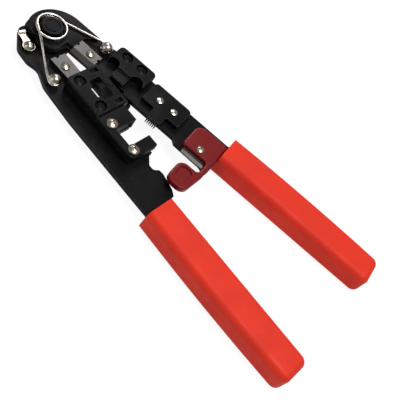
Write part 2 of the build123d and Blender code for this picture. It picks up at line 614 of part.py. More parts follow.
def guard():
    """Moulded guard: a plate on the arm, a neck beside the grip and a thumb paddle."""
    neck_low = GUARD_X[1] - NECK_WIDTH
    points = [
        (GUARD_X[0], GUARD_Y[0]), (neck_low, GUARD_Y[0]), (neck_low, PADDLE_Y[1]),
        (PADDLE_X[0], PADDLE_Y[1]), (PADDLE_X[0], PADDLE_Y[0]), (PADDLE_X[1], PADDLE_Y[0]),
        (GUARD_X[1], PADDLE_Y[1]), (GUARD_X[1], GUARD_Y[1]), (GUARD_X[0], GUARD_Y[1]),
    ]
    face = outline(points, {0: 1.5, 1: 2.0, 2: 1.8, 3: PADDLE_R, 4: PADDLE_R, 5: PADDLE_R, 7: 1.0, 8: 5.0})
    solid = slab(face, RIGHT_TOP, GUARD_THICK)
    solid = fillet(solid.faces().sort_by(Axis.Z)[-1].edges(), GUARD_EDGE_R)
    size = [high - low - 2 * PADDLE_RIM for low, high in (PADDLE_X, PADDLE_Y)]
    centre = (sum(PADDLE_X) / 2, sum(PADDLE_Y) / 2)
    dish = Pos(*centre) * RectangleRounded(*size, PADDLE_RECESS_R)
    solid -= slab(dish, RIGHT_TOP + GUARD_THICK - PADDLE_RECESS, CUTTER)
    seat = (RIGHT_TOP - 1, RIGHT_TOP + STRIP_THICK + FIT)
    solid -= block((STRIP_X[0] - FIT, STRIP_X[1] + FIT), (STRIP_Y[0] - FIT, STRIP_Y[1] + FIT), seat)
    return solid - drill(GUARD_SCREW, BLADE_SCREW_SHANK_R + FIT)


# ---------------------------------------------------------------- pivot, latch, spring
def pivot_bolt():
    """Shoulder bolt with a dished round boss, and its shank down to the nut."""
    boss_top = HEAD_TOP + 2 * COIL_PITCH
    bolt = post((0, 0), PIVOT_SHAFT_R, 0, HEAD_TOP) + post((0, 0), PIVOT_BOSS_R, HEAD_TOP, boss_top)
    dish_r = PIVOT_BOSS_R - PIVOT_BOSS_RIM
    width, deep = PIVOT_GROOVE
    bolt -= post((0, 0), dish_r, boss_top - deep, CUTTER) - drill((0, 0), dish_r - width)
    return chamfer(bolt.faces().sort_by(Axis.Z)[-1].edges(), PIVOT_EDGE)


def pivot_nut():
    """Hexagon nut that the head of the tool rests on."""
    hexagon = RegularPolygon(PIVOT_NUT_ACROSS / 2, 6, major_radius=False)
    nut = slab(hexagon, 0, ARM_BOTTOM - PIVOT_WASHER_THICK)
    return nut - drill((0, 0), PIVOT_SHAFT_R + FIT)


def pivot_washer():
    """Plain washer between the nut and the left arm."""
    ring = post((0, 0), PIVOT_WASHER_R, ARM_BOTTOM - PIVOT_WASHER_THICK, ARM_BOTTOM)
    return ring - drill((0, 0), PIVOT_SHAFT_R + FIT)


def latch_reach():
    """Distance from the latch's rivet to its tip, and the angle it lies at."""
    along = LATCH_TIP[0] - LATCH_PIVOT[0]
    across = LATCH_TIP[1] - LATCH_PIVOT[1]
    return hypot(along, across), degrees(atan2(across, along))


def latch():
    """Small pressed latch with an eye for its rivet and an upturned lip."""
    reach, turn = latch_reach()
    face = Circle(LATCH_EYE_R) + Pos(reach / 2, 0) * Rectangle(reach, LATCH_WIDTH)
    solid = extrude(face, LATCH_THICK)
    thick, rise = LATCH_LIP
    solid += block((reach - thick, reach), (-LATCH_WIDTH / 2, LATCH_WIDTH / 2), (0, rise))
    solid = Pos(*LATCH_PIVOT, LEFT_TOP + FACE_GAP) * Rot(0, 0, turn) * solid
    return solid - drill(LATCH_PIVOT, RIVET_SHANK_R + FIT)


def latch_slot():
    """Tool for the slot that the latch swings into when the handles are closed."""
    reach, turn = latch_reach()
    half = LATCH_WIDTH / 2 + LATCH_SLOT_GAP
    space = block((0, reach + LATCH_SLOT_GAP), (-half, half), (-CUTTER, CUTTER))
    return Pos(*LATCH_PIVOT) * Rot(0, 0, turn + LATCH_LOCK_TURN) * space


def latch_rivet():
    """Domed rivet that the latch swings on."""
    seat = LEFT_TOP + FACE_GAP + LATCH_THICK + FIT
    body = post(LATCH_PIVOT, RIVET_SHANK_R, ARM_BOTTOM - LATCH_RIVET_TAIL, seat)
    return body + dome(LATCH_PIVOT, LATCH_RIVET_R, LATCH_RIVET_RISE, seat)


def leg_angle(stud_at, side):
    """Angle of the point where a leg leaves the coil on the outer side of its stud."""
    x, y = stud_at
    lean = degrees((COIL_R - HOOK_R) / hypot(x, y))
    return degrees(atan2(y, x)) + side * (90 - lean)


def hook_path(centre, level, start_angle, turn):
    """The bend around a stud, from the point where the leg meets it."""
    stops = [radians(start_angle + share * turn) for share in (0, 0.5, 1)]
    points = [(centre[0] + HOOK_R * cos(stop), centre[1] + HOOK_R * sin(stop), level) for stop in stops]
    return ThreePointArc(*points)


def torsion_spring():
    """One and a third turns of wire about the boss, with a leg hooked on each stud."""
    left = opened(LEFT_STUD, "left")
    right = opened(RIGHT_STUD, "right")
    start = leg_angle(right, 1)
    finish = leg_angle(left, -1) + 720
    rise = COIL_PITCH * (finish - start) / 360
    coil = Pos(0, 0, COIL_Z) * Rot(0, 0, start) * Helix(COIL_PITCH, rise, COIL_R)
    right_hook = hook_path(right, COIL_Z, start, -HOOK_SWEEP)
    left_hook = hook_path(left, LEFT_HOOK_Z, finish, HOOK_SWEEP)
    right_leg = Spline(right_hook @ 0, coil @ 0, tangents=(-(right_hook % 0), coil % 0))
    left_leg = Spline(coil @ 1, left_hook @ 0, tangents=(coil % 1, left_hook % 0))
    spring = Part()
    for path in (right_hook, right_leg, coil, left_leg, left_hook):
        section = Plane(origin=path @ 0, z_dir=path % 0) * Circle(WIRE_R)
        spring += sweep(section, path=path, is_frenet=path is coil)
    return spring


# ---------------------------------------------------------------- assembly
def comb_rivets():
    """Both rivets of the comb plate, as a group of separate solids."""
    group = Part()
    for centre in COMB_RIVETS:
        group += rivet(centre, RIGHT_TOP + COMB_PLATE_THICK, RIGHT_BOTTOM)
    return group


def build_left_arm():
    """The arm that carries the nests, and what is fixed to it."""
    nest_tip = ARM_BOTTOM - SCREW_TIP_DROP
    upper_seat = UPPER_NEST_TOP - SCREW_SEAT_DEPTH
    blade_seat = LEFT_TOP + LEFT_BLADE_THICK
    add("left_arm_plate", left_arm_plate(), "left")
    add("left_grip", grip(LEFT_GRIP_Y, ARM_BOTTOM), "left")
    add("left_cutter_plate", left_blade(), "left")
    add("left_cutter_screw", screw(LEFT_BLADE_SCREW, blade_seat, ARM_BOTTOM, *BLADE_SCREW), "left")
    add("left_spring_stud", stud(LEFT_STUD, ARM_BOTTOM, LEFT_STUD_HEAD_Z), "left")
    add("nest_spacer", nest_spacer(), "left")
    add("eight_way_nest", upper_nest(), "left")
    add("eight_way_nest_screws", block_screws(UPPER_NEST_SCREWS, upper_seat, nest_tip), "left")
    add("six_way_nest", lower_nest(), "left")
    add("six_way_nest_screws", block_screws(LOWER_NEST_SCREWS, LOWER_NEST_TOP, nest_tip), "left")


def build_pivot():
    """The pivot, the latch and the spring."""
    add("pivot_bolt", pivot_bolt())
    add("pivot_washer", pivot_washer())
    add("pivot_nut", pivot_nut())
    add("latch_rivet", latch_rivet(), "left")
    add("lock_latch", latch(), "left")
    add("torsion_spring", torsion_spring())


def build_right_arm():
    """The arm that carries the rams, and what is fixed to it."""
    blade_seat = RIGHT_TOP + RIGHT_BLADE_THICK
    guard_seat = RIGHT_TOP + GUARD_THICK
    eight_z = (NEST_BOTTOM + COMB_LIFT, TONGUE_TOP)
    six_z = (RIGHT_TOP + SIX_COMB_LIFT, RIGHT_TOP + COMB_PLATE_THICK - SIX_COMB_LIFT)
    add("right_arm_plate", right_arm_plate(), "right")
    add("head_plate", head_plate(), "right")
    add("right_grip", grip(RIGHT_GRIP_Y, RIGHT_BOTTOM), "right")
    add("right_cutter_blade", right_blade(), "right")
    add("right_cutter_screw", screw(RIGHT_BLADE_SCREW, blade_seat, RIGHT_BOTTOM, *BLADE_SCREW), "right")
    add("right_spring_stud", stud(RIGHT_STUD, RIGHT_BOTTOM, RIGHT_STUD_HEAD_Z), "right")
    add("eight_way_ram", ram(), "right")
    add("eight_way_ram_screws", block_screws(RAM_SCREWS, RAM_TOP - SCREW_SEAT_DEPTH, RIGHT_BOTTOM), "right")
    add("eight_way_comb", comb(EIGHT_TEETH, EIGHT_X, TONGUE_END_Y, EIGHT_TOOTH_Y, eight_z), "right")
    add("six_way_comb_plate", comb_plate(), "right")
    add("six_way_comb", comb(SIX_TEETH, SIX_X, COMB_TONGUE_Y, SIX_TOOTH_Y, six_z), "right")
    add("comb_plate_rivets", comb_rivets(), "right")
    add("strip_blade", strip_blade(), "right")
    add("strip_guard", guard(), "right")
    add("guard_screw", screw(GUARD_SCREW, guard_seat, RIGHT_BOTTOM, *BLADE_SCREW), "right")


os.makedirs("parts", exist_ok=True)
build_left_arm()
build_pivot()
build_right_arm()
for name, shape in NODES.items():
    export_step(shape, f"parts/{name}.step")
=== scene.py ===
"""Looks of a modular-plug crimping tool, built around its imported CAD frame."""

import json
import logging
import math
from dataclasses import dataclass
from enum import Enum
from typing import Any, Callable, Optional, Union

import bmesh
import bpy
from mathutils import Matrix, Vector

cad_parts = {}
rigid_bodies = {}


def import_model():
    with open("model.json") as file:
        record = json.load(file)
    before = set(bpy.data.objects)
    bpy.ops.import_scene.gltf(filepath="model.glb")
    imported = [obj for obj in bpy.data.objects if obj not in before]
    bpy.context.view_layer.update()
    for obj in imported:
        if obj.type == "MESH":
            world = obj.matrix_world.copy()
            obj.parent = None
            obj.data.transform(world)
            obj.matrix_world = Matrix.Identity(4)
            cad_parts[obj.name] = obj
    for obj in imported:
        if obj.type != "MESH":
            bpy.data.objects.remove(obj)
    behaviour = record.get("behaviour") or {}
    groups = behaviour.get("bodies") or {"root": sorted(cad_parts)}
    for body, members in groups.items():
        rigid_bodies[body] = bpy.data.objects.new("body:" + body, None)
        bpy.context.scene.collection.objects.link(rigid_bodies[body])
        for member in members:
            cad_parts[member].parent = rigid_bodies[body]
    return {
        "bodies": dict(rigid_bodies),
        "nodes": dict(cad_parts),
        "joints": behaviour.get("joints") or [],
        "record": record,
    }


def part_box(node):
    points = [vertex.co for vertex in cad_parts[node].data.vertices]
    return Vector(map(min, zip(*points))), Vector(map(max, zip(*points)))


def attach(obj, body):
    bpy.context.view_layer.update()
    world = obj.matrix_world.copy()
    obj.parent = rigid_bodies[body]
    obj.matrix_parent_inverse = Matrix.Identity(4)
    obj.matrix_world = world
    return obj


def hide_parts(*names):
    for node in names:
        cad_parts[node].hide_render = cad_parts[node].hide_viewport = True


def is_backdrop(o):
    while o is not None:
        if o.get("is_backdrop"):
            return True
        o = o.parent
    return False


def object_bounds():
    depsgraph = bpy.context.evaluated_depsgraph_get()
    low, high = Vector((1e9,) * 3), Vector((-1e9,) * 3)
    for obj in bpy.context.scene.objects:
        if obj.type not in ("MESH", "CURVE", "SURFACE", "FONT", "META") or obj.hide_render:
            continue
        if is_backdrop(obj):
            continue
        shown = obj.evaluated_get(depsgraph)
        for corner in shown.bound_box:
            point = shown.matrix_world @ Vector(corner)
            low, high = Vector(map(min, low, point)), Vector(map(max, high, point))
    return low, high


LOG = logging.getLogger("crimping_tool")
Colour = tuple[float, float, float]
Value = Union[float, "Wire"]


class Body(Enum):
    """The bodies that drawn pieces ride on."""

    LEFT_ARM = "left_arm"
    RIGHT_ARM = "right_arm"


class Slot(Enum):
    """The material slots of the record."""

    BLACK_STEEL = "black_steel"
    BLACK_SCREWS = "black_screws"
    NICKEL = "nickel"
    SPRING_WIRE = "spring_wire"
    GROUND_STEEL = "ground_steel"
    RED_GRIP = "red_grip"
    DARK_RED = "dark_red"


# ---------------------------------------------------------------- shader maths
class Wire:
    """A shader socket that takes part in sums as a number would."""

    def __init__(self, sheet: "Sheet", socket: bpy.types.NodeSocket) -> None:
        """Wraps an output socket of a sheet's node tree."""
        self.sheet = sheet
        self.socket = socket

    def _join(self, operation: str, first: Value, second: Value, clamp: bool = False) -> "Wire":
        """Adds one Math node.

        Args:
            operation: The Math node's operation.
            first: The first operand.
            second: The second operand.
            clamp: Whether the result is held between 0 and 1.

        Returns:
            The node's result.
        """
        settings = {"operation": operation, "use_clamp": clamp}
        return self.sheet.out("ShaderNodeMath", settings, {0: first, 1: second})

    def __add__(self, other: Value) -> "Wire":
        """Sum."""
        return self._join("ADD", self, other)

    def __radd__(self, other: Value) -> "Wire":
        """Sum, with the number first."""
        return self._join("ADD", other, self)

    def __sub__(self, other: Value) -> "Wire":
        """Difference."""
        return self._join("SUBTRACT", self, other)

    def __rsub__(self, other: Value) -> "Wire":
        """Difference, with the number first."""
        return self._join("SUBTRACT", other, self)

    def __mul__(self, other: Value) -> "Wire":
        """Product."""
        return self._join("MULTIPLY", self, other)

    def __rmul__(self, other: Value) -> "Wire":
        """Product, with the number first."""
        return self._join("MULTIPLY", other, self)

    def held(self) -> "Wire":
        """The same value, held between 0 and 1."""
        return self._join("ADD", self, 0.0, clamp=True)


class Sheet:
    """One material's node tree, with short ways to add nodes to it."""

    def __init__(self, name: str) -> None:
        """Starts an empty node material.

        Args:
            name: The material's name.
        """
        self.material = bpy.data.materials.new(name)
        self.material.use_nodes = True
        self.tree = self.material.node_tree
        self.tree.nodes.clear()

    def node(self, kind: str, settings: Optional[dict[str, Any]] = None,
             values: Optional[dict[Union[str, int], Any]] = None) -> bpy.types.Node:
        """Adds any node.

        Args:
            kind: The node's type.
            settings: Properties of the node, set before its sockets.
            values: Numbers, colours or links of its sockets, by name or index.

        Returns:
            The new node.
        """
        made = self.tree.nodes.new(kind)
        for key, setting in (settings or {}).items():
            setattr(made, key, setting)
        for key, value in (values or {}).items():
            if isinstance(value, Wire):
                self.tree.links.new(value.socket, made.inputs[key])
            else:
                made.inputs[key].default_value = value
        return made

    def out(self, kind: str, settings: Optional[dict[str, Any]] = None,
            values: Optional[dict[Union[str, int], Any]] = None, socket: Union[str, int] = 0) -> Wire:
        """Adds a node and returns one of its outputs.

        Args:
            kind: The node's type.
            settings: Properties of the node.
            values: Numbers, colours or links of its sockets.
            socket: The output that is wanted.

        Returns:
            That output as a wire.
        """
        return Wire(self, self.node(kind, settings, values).outputs[socket])

    def place(self, turn: float = 0.0, stretch: Colour = (1.0, 1.0, 1.0)) -> Wire:
        """Object coordinates, turned about the vertical and stretched.

        Args:
            turn: Turn in radians.
            stretch: Scale along each axis.

        Returns:
            The coordinates.
        """
        spot = self.out("ShaderNodeTexCoord", socket="Object")
        return self.out("ShaderNodeMapping", {"vector_type": "POINT"},
                        {"Vector": spot, "Rotation": (0.0, 0.0, turn), "Scale": stretch})

    def noise(self, place: Wire, per_metre: float, detail: float = 3.0, rough: float = 0.55) -> Wire:
        """Cloudy noise.

        Args:
            place: Where it is read.
            per_metre: Scale of the pattern.
            detail: Number of octaves.
            rough: Weight of the fine octaves.

        Returns:
            A value about one half.
        """
        return self.out("ShaderNodeTexNoise", {"noise_dimensions": "3D"},
                        {"Vector": place, "Scale": per_metre, "Detail": detail, "Roughness": rough}, "Fac")

    def step(self, value: Wire, low: float, high: float, at_low: float = 0.0, at_high: float = 1.0) -> Wire:
        """A clamped ramp of one value between two limits.

        Args:
            value: The value.
            low: Where the ramp starts.
            high: Where it ends.
            at_low: Result at the start.
            at_high: Result at the end.

        Returns:
            The ramp's value.
        """
        return self.out("ShaderNodeMapRange", {"clamp": True, "interpolation_type": "SMOOTHSTEP"},
                        {"Value": value, "From Min": low, "From Max": high,
                         "To Min": at_low, "To Max": at_high})

    def blend(self, factor: Value, first: Union[Colour, Wire], second: Union[Colour, Wire]) -> Wire:
        """Mixes two colours.

        Args:
            factor: Share of the second colour.
            first: The first colour.
            second: The second colour.

        Returns:
            The mixed colour.
        """
        def full(colour: Union[Colour, Wire]) -> Any:
            """A colour with its alpha."""
            return colour if isinstance(colour, Wire) else (*colour, 1.0)
        settings = {"data_type": "RGBA", "blend_type": "MIX", "clamp_factor": True}
        return self.out("ShaderNodeMix", settings, {0: factor, 6: full(first), 7: full(second)}, 2)

    def rounded(self, radius: float) -> Wire:
        """The surface normal, softened across sharp edges."""
        return self.out("ShaderNodeBevel", {"samples": 6}, {"Radius": radius})

    def edges(self, radius: float, gain: float) -> Wire:
        """A mask of the sharp edges, where the black steel gets a painted highlight and the plastic is made
        lighter.

        Args:
            radius: How far in from an edge the mask reaches.
            gain: Strength of the mask.

        Returns:
            One at the edges and zero on flat faces.
        """
        soft = self.rounded(radius)
        plain = self.out("ShaderNodeNewGeometry", socket="Normal")
        same = self.out("ShaderNodeVectorMath", {"operation": "DOT_PRODUCT"}, {0: soft, 1: plain}, "Value")
        return ((1.0 - same) * gain).held()

    def bump(self, height: Wire, depth: float, normal: Wire) -> Wire:
        """A normal that follows a height.

        Args:
            height: The height, from 0 to 1.
            depth: What a height of 1 stands for, in metres.
            normal: The normal that it starts from.

        Returns:
            The new normal.
        """
        return self.out("ShaderNodeBump", None, {
            "Height": height, "Distance": depth, "Strength": 1.0, "Normal": normal})

    def finish(self, values: dict[Union[str, int], Any]) -> bpy.types.Material:
        """Ends the tree in a Principled surface.

        Args:
            values: The values and links of the surface's sockets.

        Returns:
            The finished material.
        """
        surface = self.out("ShaderNodeBsdfPrincipled", None, values)
        self.node("ShaderNodeOutputMaterial", None, {"Surface": surface})
        return self.material


# ---------------------------------------------------------------- finishes
@dataclass(frozen=True)
class BlackSteel:
    """Satin black oxide on pressed steel with rubbed bare scuffs, and a painted highlight along its sharp
    edges.
    """

    name: str = "black_oxide_steel"
    deep: Colour = (0.0026, 0.0026, 0.0028)
    pale: Colour = (0.0060, 0.0060, 0.0065)
    # Colour of the bare scuffs, and of the painted highlight along the edges.
    wear_and_highlight: Colour = (0.110, 0.118, 0.138)
    edge_radius: float = 0.00032
    # Strength of the painted highlight along the edges.
    edge_highlight_gain: float = 3.4
    roughness: tuple[float, float] = (0.34, 0.52)
    specular: float = 0.06
    clouds_per_metre: float = 60.0
    grain_per_metre: float = 2600.0
    grain_depth: float = 0.00001
    scuffs_per_metre: float = 210.0
    scuff_share: float = 0.25
    patches_per_metre: float = 330.0

    def make(self) -> bpy.types.Material:
        """Builds the material."""
        sheet = Sheet(self.name)
        place = sheet.place()
        clouds = sheet.noise(place, self.clouds_per_metre, 4.0)
        grain = sheet.noise(place, self.grain_per_metre, 2.0)
        streaks = sheet.noise(sheet.place(0.5, (1.0, 9.0, 1.0)), self.scuffs_per_metre, 5.0, 0.65)
        scuffs = sheet.step(streaks, 0.62, 0.74)
        patches = sheet.step(sheet.noise(place, self.patches_per_metre), 0.3, 0.62, 0.25)
        # Painted highlight along the sharp edges, broken into patches.
        rim = sheet.edges(self.edge_radius, self.edge_highlight_gain) * patches
        skin = sheet.blend(sheet.step(clouds, 0.35, 0.7), self.deep, self.pale)
        skin = sheet.blend(scuffs * self.scuff_share, skin, self.wear_and_highlight)
        low, high = self.roughness
        rough = sheet.step(clouds, 0.3, 0.7, high, low) + grain * 0.06 - scuffs * 0.06
        return sheet.finish({
            # The edges take the painted highlight colour over the oxide and its scuffs.
            "Base Color": sheet.blend(rim, skin, self.wear_and_highlight),
            "Roughness": rough,
            "Metallic": 0.0,
            "Specular IOR Level": self.specular,
            "Normal": sheet.bump(grain, self.grain_depth, sheet.rounded(self.edge_radius)),
        })


@dataclass(frozen=True)
class BrightMetal:
    """Bright plated metal with a faint haze and fine handling marks."""

    name: str = "nickel_plate"
    base: Colour = (0.50, 0.455, 0.385)
    haze: Colour = (0.30, 0.265, 0.215)
    edge_radius: float = 0.00015
    roughness: tuple[float, float] = (0.20, 0.34)
    haze_per_metre: float = 420.0
    marks_per_metre: float = 520.0
    mark_depth: float = 0.000004

    def make(self) -> bpy.types.Material:
        """Builds the material."""
        sheet = Sheet(self.name)
        place = sheet.place()
        clouds = sheet.noise(place, self.haze_per_metre, 4.0)
        marks = sheet.noise(sheet.place(1.1, (1.0, 14.0, 6.0)), self.marks_per_metre, 4.0, 0.6)
        low, high = self.roughness
        return sheet.finish({
            "Base Color": sheet.blend(sheet.step(clouds, 0.4, 0.75), self.base, self.haze),
            "Roughness": sheet.step(marks, 0.3, 0.8, low, high),
            "Metallic": 1.0,
            "Normal": sheet.bump(marks, self.mark_depth, sheet.rounded(self.edge_radius)),
        })


@dataclass(frozen=True)
class GroundSteel:
    """Hardened steel with the fine parallel lines of a surface grinder."""

    name: str = "ground_blade_steel"
    pale: Colour = (0.100, 0.096, 0.094)
    dark: Colour = (0.066, 0.063, 0.061)
    stain: Colour = (0.060, 0.055, 0.050)
    edge_radius: float = 0.0001
    lines_per_metre: float = 7000.0
    line_stretch: float = 0.035
    line_depth: float = 0.000003
    spots_per_metre: float = 190.0
    spot_share: float = 0.5

    def make(self) -> bpy.types.Material:
        """Builds the material."""
        sheet = Sheet(self.name)
        lines = sheet.noise(sheet.place(0.0, (self.line_stretch, 1.0, 1.0)), self.lines_per_metre, 3.0, 0.7)
        clouds = sheet.noise(sheet.place(), self.spots_per_metre, 4.0)
        metal = sheet.blend(lines, self.dark, self.pale)
        spots = sheet.step(clouds, 0.56, 0.8) * self.spot_share
        return sheet.finish({
            "Base Color": sheet.blend(spots, metal, self.stain),
            "Roughness": sheet.step(lines, 0.3, 0.7, 0.33, 0.47) + clouds * 0.08,
            "Metallic": 1.0,
            "Normal": sheet.bump(lines, self.line_depth, sheet.rounded(self.edge_radius)),
        })


@dataclass(frozen=True)
class MouldedPlastic:
    """Moulded plastic with an eroded-mould grain and faint flow clouds."""

    name: str = "red_grip_plastic"
    base: Colour = (0.62, 0.027, 0.0095)
    flow: Colour = (0.56, 0.025, 0.011)
    rubbed: Colour = (0.66, 0.050, 0.030)
    grain_per_metre: float = 2100.0
    grain_depth: float = 0.00002
    edge_radius: float = 0.0003
    roughness: tuple[float, float] = (0.46, 0.60)
    specular: float = 0.16
    clouds_per_metre: float = 55.0
    scuffs_per_metre: float = 260.0
    scuff_share: float = 0.3
    rim_gain: float = 1.2
    rim_share: float = 0.5

    def make(self) -> bpy.types.Material:
        """Builds the material."""
        sheet = Sheet(self.name)
        place = sheet.place()
        clouds = sheet.noise(place, self.clouds_per_metre, 3.0)
        grain = sheet.noise(place, self.grain_per_metre, 2.0)
        streaks = sheet.noise(sheet.place(0.3, (0.6, 5.0, 1.0)), self.scuffs_per_metre, 5.0, 0.65)
        scuffs = sheet.step(streaks, 0.60, 0.74)
        rim = sheet.edges(self.edge_radius, self.rim_gain)
        body = sheet.blend(sheet.step(clouds, 0.35, 0.65), self.base, self.flow)
        body = sheet.blend(scuffs * self.scuff_share + rim * self.rim_share, body, self.rubbed)
        low, high = self.roughness
        return sheet.finish({
            "Base Color": body,
            "Roughness": sheet.step(clouds, 0.3, 0.7, low, high) + scuffs * 0.06,
            "Specular IOR Level": self.specular,
            "Normal": sheet.bump(grain, self.grain_depth, sheet.rounded(self.edge_radius)),
        })


FINISHES = {
    Slot.BLACK_STEEL: BlackSteel(),
    Slot.BLACK_SCREWS: BlackSteel(
        name="blackened_screw_steel", deep=(0.0035, 0.0035, 0.0035), pale=(0.008, 0.008, 0.008),
        edge_radius=0.00018, roughness=(0.2, 0.36)),
    Slot.NICKEL: BrightMetal(),
    Slot.SPRING_WIRE: BrightMetal(
        name="plated_spring_wire", base=(0.70, 0.66, 0.60), haze=(0.46, 0.42, 0.37), roughness=(0.16, 0.3)),
    Slot.GROUND_STEEL: GroundSteel(),
    Slot.RED_GRIP: MouldedPlastic(),
    Slot.DARK_RED: MouldedPlastic(
        name="dark_red_guard_plastic", base=(0.150, 0.0085, 0.0095), flow=(0.125, 0.0065, 0.0075),
        rubbed=(0.20, 0.018, 0.020), grain_per_metre=1500.0, grain_depth=0.00003,
        edge_radius=0.0002, roughness=(0.26, 0.42)),
}


# ---------------------------------------------------------------- geometry nodes
class Tree:
    """A geometry node tree that is built in the script and applied to a mesh."""

    def __init__(self, name: str, inputs: dict[str, tuple[str, Any]]) -> None:
        """Starts a tree with named inputs.

        Args:
            name: The tree's name.
            inputs: Socket type and starting value of each input, by name.
        """
        self.tree = bpy.data.node_groups.new(name, "GeometryNodeTree")
        self.tree.interface.new_socket("Geometry", in_out="INPUT", socket_type="NodeSocketGeometry")
        self.tree.interface.new_socket("Geometry", in_out="OUTPUT", socket_type="NodeSocketGeometry")
        self.identifiers: dict[str, str] = {}
        for label, (kind, value) in inputs.items():
            socket = self.tree.interface.new_socket(label, in_out="INPUT", socket_type=kind)
            if value is not None:
                socket.default_value = value
            self.identifiers[label] = socket.identifier
        self.entry = self.tree.nodes.new("NodeGroupInput")
        self.exit = self.tree.nodes.new("NodeGroupOutput")

    def node(self, kind: str, settings: Optional[dict[str, Any]] = None,
             values: Optional[dict[Union[str, int], Any]] = None) -> bpy.types.Node:
        """Adds any node.

        Args:
            kind: The node's type.
            settings: Properties of the node, set before its sockets.
            values: Values or source sockets, by the input's name or index.

        Returns:
            The new node.
        """
        made = self.tree.nodes.new(kind)
        for key, setting in (settings or {}).items():
            setattr(made, key, setting)
        for key, value in (values or {}).items():
            if isinstance(value, bpy.types.NodeSocket):
                self.tree.links.new(value, made.inputs[key])
            else:
                made.inputs[key].default_value = value
        return made

    def close(self, geometry: bpy.types.NodeSocket) -> None:
        """Realizes the instances, sets the material and ends the tree."""
        real = self.node("GeometryNodeRealizeInstances", None, {"Geometry": geometry})
        dressed = self.node("GeometryNodeSetMaterial", None,
                            {"Geometry": real.outputs[0], "Material": self.entry.outputs["Material"]})
        self.tree.links.new(dressed.outputs[0], self.exit.inputs[0])

    def apply(self, name: str, values: dict[str, Any]) -> bpy.types.Object:
        """Runs the tree once and keeps its result as a plain mesh object.

        Args:
            name: The new object's name.
            values: Values of the tree's inputs, by name.

        Returns:
            The object, at the origin, with its place in its mesh.
        """
        holder = bpy.data.objects.new(name + "_maker", bpy.data.meshes.new(name + "_maker"))
        bpy.context.scene.collection.objects.link(holder)
        modifier = holder.modifiers.new("maker", "NODES")
        modifier.node_group = self.tree
        for label, value in values.items():
            modifier[self.identifiers[label]] = value
        graph = bpy.context.evaluated_depsgraph_get()
        graph.update()
        mesh = bpy.data.meshes.new_from_object(holder.evaluated_get(graph))
        bpy.data.objects.remove(holder)
        piece = bpy.data.objects.new(name, mesh)
        bpy.context.scene.collection.objects.link(piece)
        return piece


def solid(name: str, build: Callable[[bmesh.types.BMesh], None]) -> bpy.types.Object:
    """Makes an object from a function that fills a bmesh.

    Args:
        name: The object's name.
        build: Adds the vertices and faces.

    Returns:
        The new object, with its normals outwards.
    """
    shape = bmesh.new()
    build(shape)
    bmesh.ops.remove_doubles(shape, verts=shape.verts, dist=1e-7)
    bmesh.ops.recalc_face_normals(shape, faces=shape.faces)
    mesh = bpy.data.meshes.new(name)
    shape.to_mesh(mesh)
    shape.free()
    piece = bpy.data.objects.new(name, mesh)
    bpy.context.scene.collection.objects.link(piece)
    return piece


def dress(piece: bpy.types.Object, body: Body, paint: bpy.types.Material) -> bpy.types.Object:
    """Gives a piece its finish and the body that it rides on.

    Args:
        piece: The piece, in place.
        body: The body that carries it.
        paint: Its material.

    Returns:
        The same piece.
    """
    if not piece.data.materials:
        piece.data.materials.append(paint)
    for index in range(len(piece.data.materials)):
        piece.data.materials[index] = paint
    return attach(piece, body.value)


# ---------------------------------------------------------------- sub-assemblies
COMBS = (("eight_way_comb", 8), ("six_way_comb", 6))
THREADED = (("eight_way_nest_screws", Slot.BLACK_SCREWS), ("six_way_nest_screws", Slot.NICKEL))


